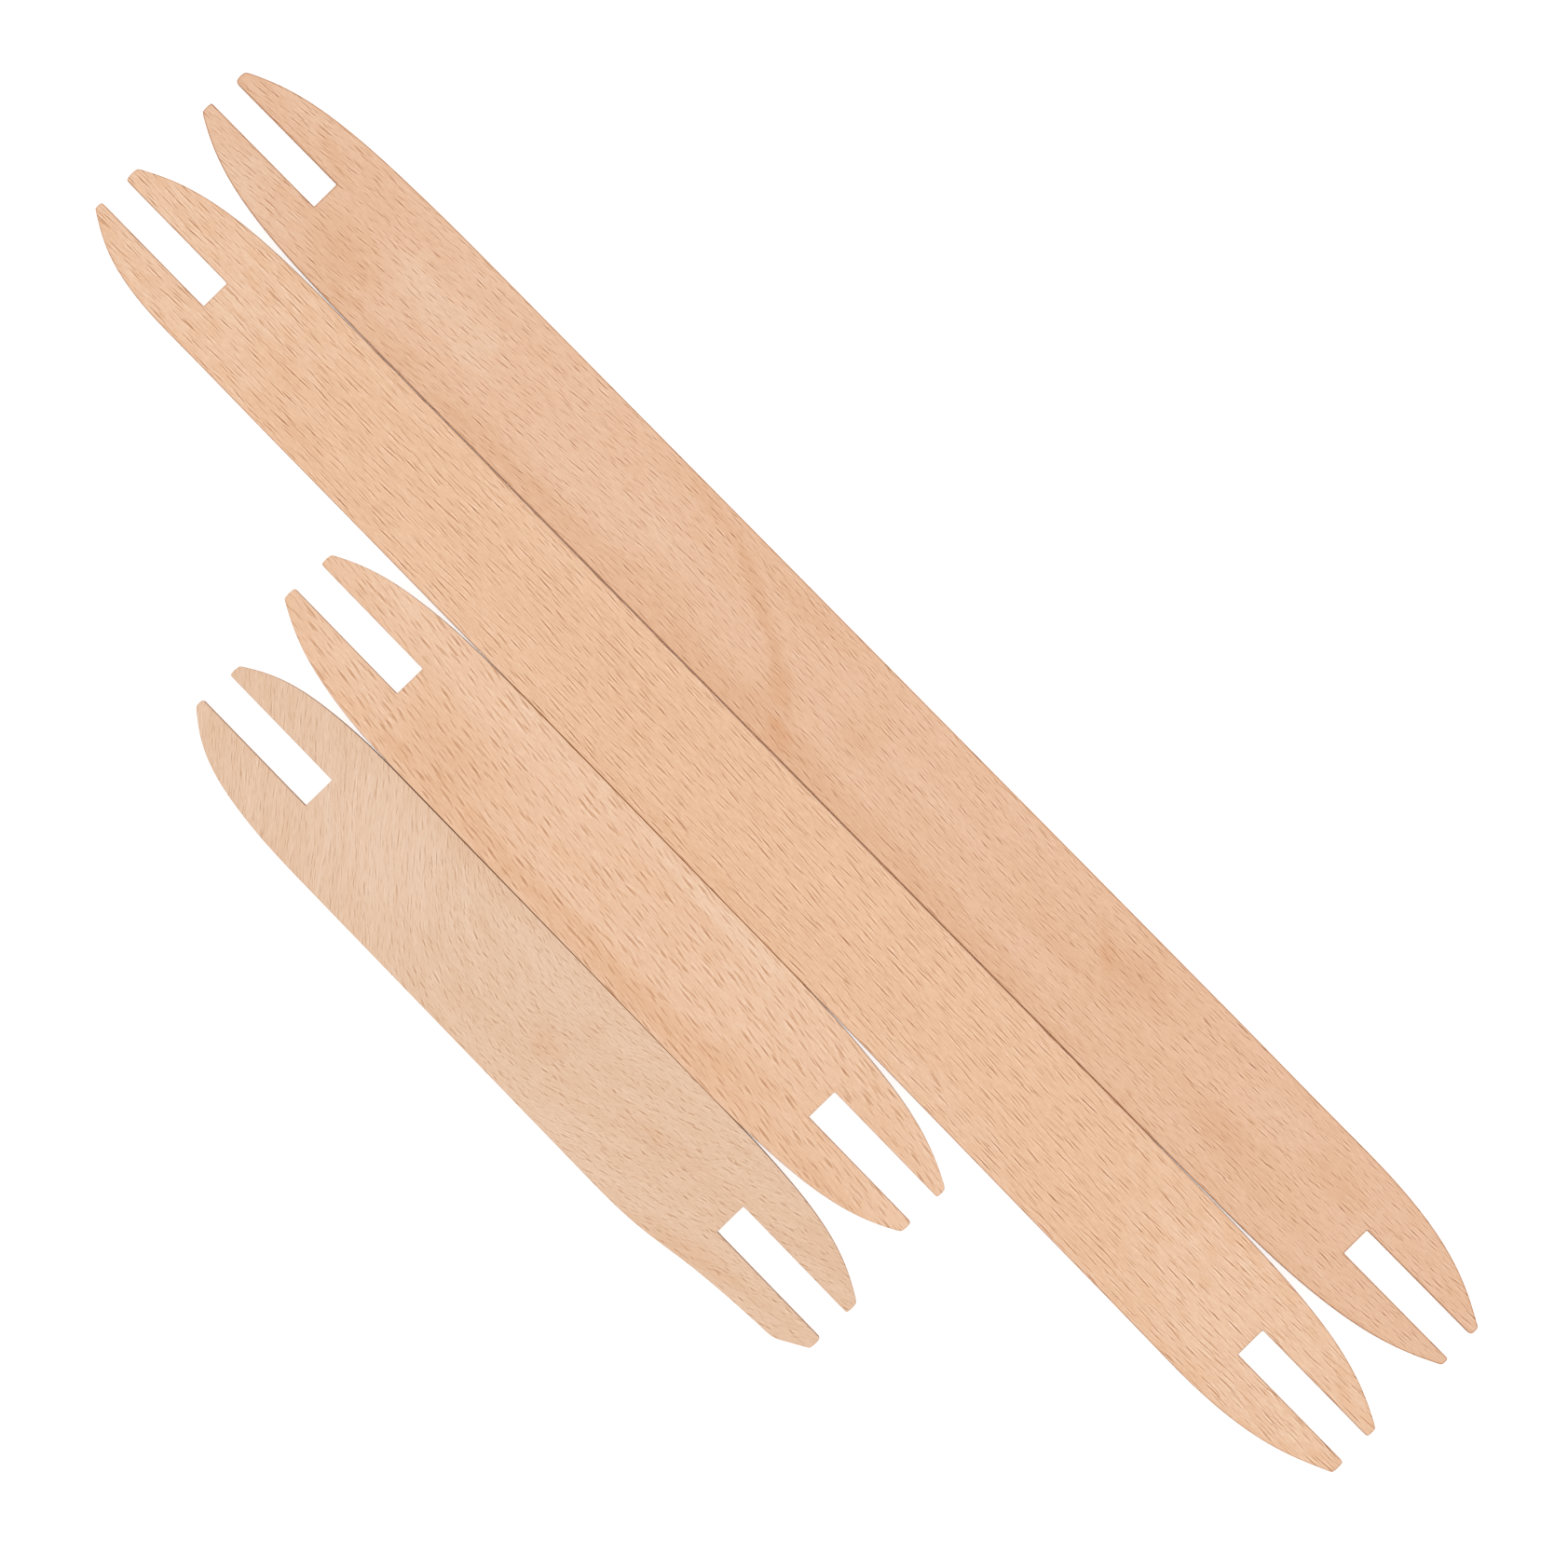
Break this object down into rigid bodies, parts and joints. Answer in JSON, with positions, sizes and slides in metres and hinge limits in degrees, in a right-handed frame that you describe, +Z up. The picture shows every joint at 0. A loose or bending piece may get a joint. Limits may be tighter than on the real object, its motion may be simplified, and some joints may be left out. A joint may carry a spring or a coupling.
{
  "type": "stick shuttle set",
  "caption": "Set of flat beech stick shuttles for hand weaving, in a long and a short size, with a yarn slot between two curved prongs at each end.",
  "frame": {"origin": "below the middle of the set's outline, on the surface that the shuttles lie on", "axes": "+X along the shuttles, +Y across the set from the short shuttles to the long ones, +Z up through their thickness"},
  "size_m": [0.4006, 0.1297, 0.004],
  "materials": {
    "beech_pinkish": "bare, fine sanded",
    "beech_warm": "bare, fine sanded",
    "beech_flecked": "bare, fine sanded",
    "beech_pale": "bare, fine sanded"
  },
  "bodies": {
    "long_b": {"long_shuttle_b": "beech_warm"},
    "long_a": {"long_shuttle_a": "beech_pinkish"},
    "short_a": {"short_shuttle_a": "beech_flecked"},
    "short_b": {"short_shuttle_b": "beech_pale"}
  },
  "joints": [
    {"name": "long_a_lift", "type": "slide", "parent": "long_b", "child": "long_a", "axis": [0, 0, 1], "range_m": [0, 0.06]},
    {"name": "short_a_lift", "type": "slide", "parent": "long_b", "child": "short_a", "axis": [0, 0, 1], "range_m": [0, 0.06]},
    {"name": "short_b_lift", "type": "slide", "parent": "long_b", "child": "short_b", "axis": [0, 0, 1], "range_m": [0, 0.06]}
  ]
}
